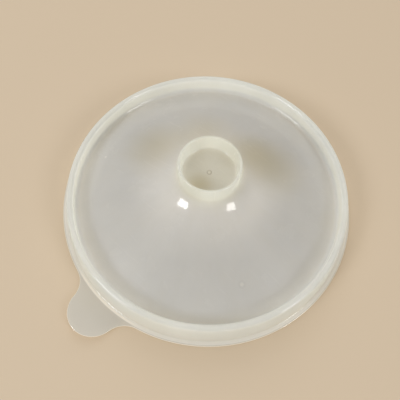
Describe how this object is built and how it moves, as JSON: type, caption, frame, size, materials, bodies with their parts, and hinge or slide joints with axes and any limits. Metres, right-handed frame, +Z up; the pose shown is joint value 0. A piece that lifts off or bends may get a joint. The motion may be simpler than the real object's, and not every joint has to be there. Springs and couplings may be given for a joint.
{
  "type": "bowl lid",
  "caption": "Round flexible push-on lid with a raised sealing rim, a coned panel, a cupped centre grip and a finger pull tab.",
  "frame": {"origin": "on the plane that the flange rests on, at the centre of the outline that takes in the pull tab, so the lid's own turning axis is parallel to Z at x = 0, y = 0.0092", "axes": "+Z up along the lid's turning axis, -Y towards the pull tab, X across the lid"},
  "size_m": [0.165, 0.1834, 0.0422],
  "materials": {
    "milky_polyethylene": "satin, milky and translucent"
  },
  "bodies": {
    "lid": {"sealing_rim": "milky_polyethylene", "cover_panel": "milky_polyethylene", "collar_flare": "milky_polyethylene", "grip_collar": "milky_polyethylene", "collar_floor": "milky_polyethylene"},
    "tab": {"pull_tab": "milky_polyethylene"}
  },
  "joints": [
    {"name": "tab_bend", "type": "hinge", "parent": "lid", "child": "tab", "pos_m": [0, -0.07353, 0.0012], "axis": [-1, 0, 0], "range_deg": [-10, 80], "stiffness_Nm_per_rad": 0.05}
  ]
}
